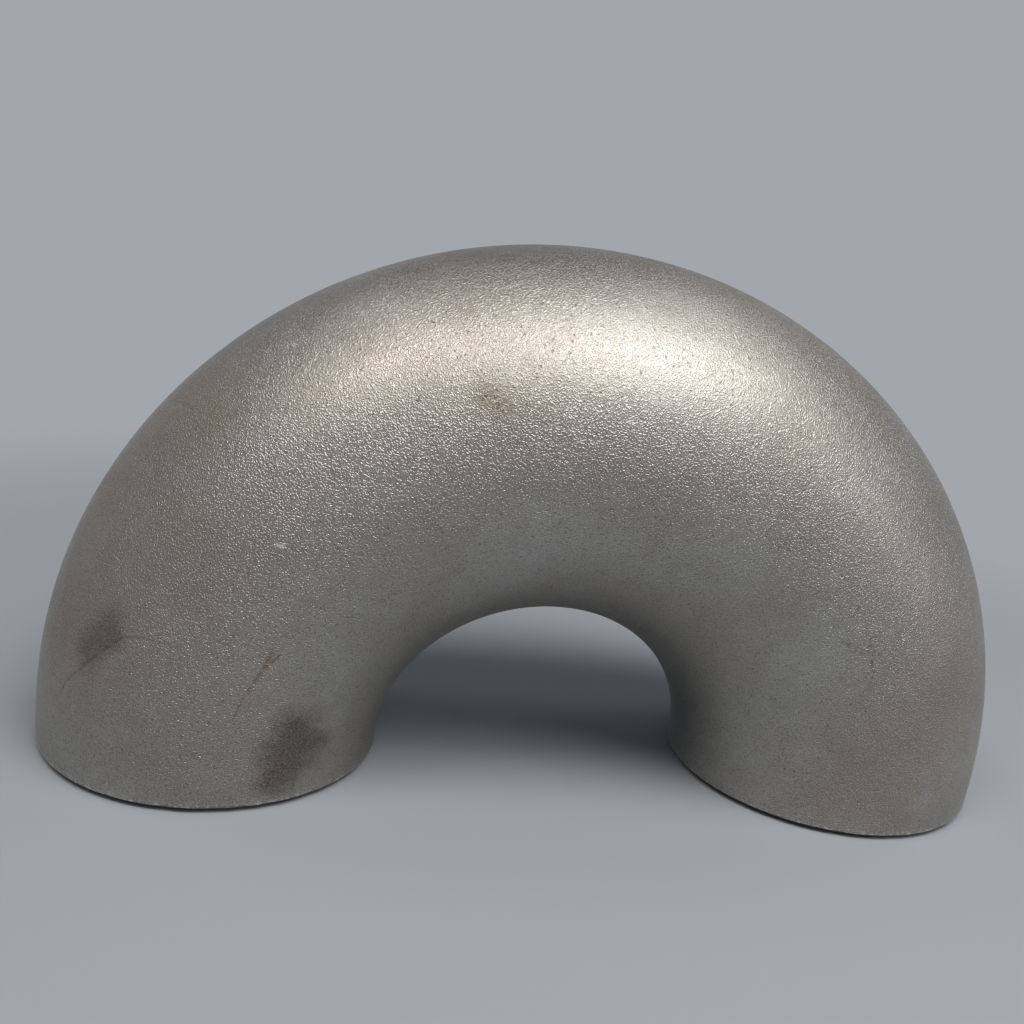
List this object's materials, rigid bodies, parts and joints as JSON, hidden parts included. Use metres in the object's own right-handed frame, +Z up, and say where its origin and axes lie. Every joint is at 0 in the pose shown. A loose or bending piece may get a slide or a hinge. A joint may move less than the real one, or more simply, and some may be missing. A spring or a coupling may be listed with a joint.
{
  "type": "return bend",
  "caption": "Seamless steel pipe bent through a half turn on a short radius, with bevelled ends for butt welding, to send a pipe run back beside itself.",
  "frame": {"origin": "on the plane of the two end faces, midway between the centres of the ends", "axes": "+X from the left end's centre to the right end's centre, +Y across the pipe and away from the viewer, +Z up from the ends to the crown"},
  "size_m": [0.324, 0.108, 0.164],
  "materials": {
    "blasted_steel": "shot-blasted, matt, lightly stained"
  },
  "bodies": {
    "root": {"return_bend": "blasted_steel"}
  },
  "joints": []
}
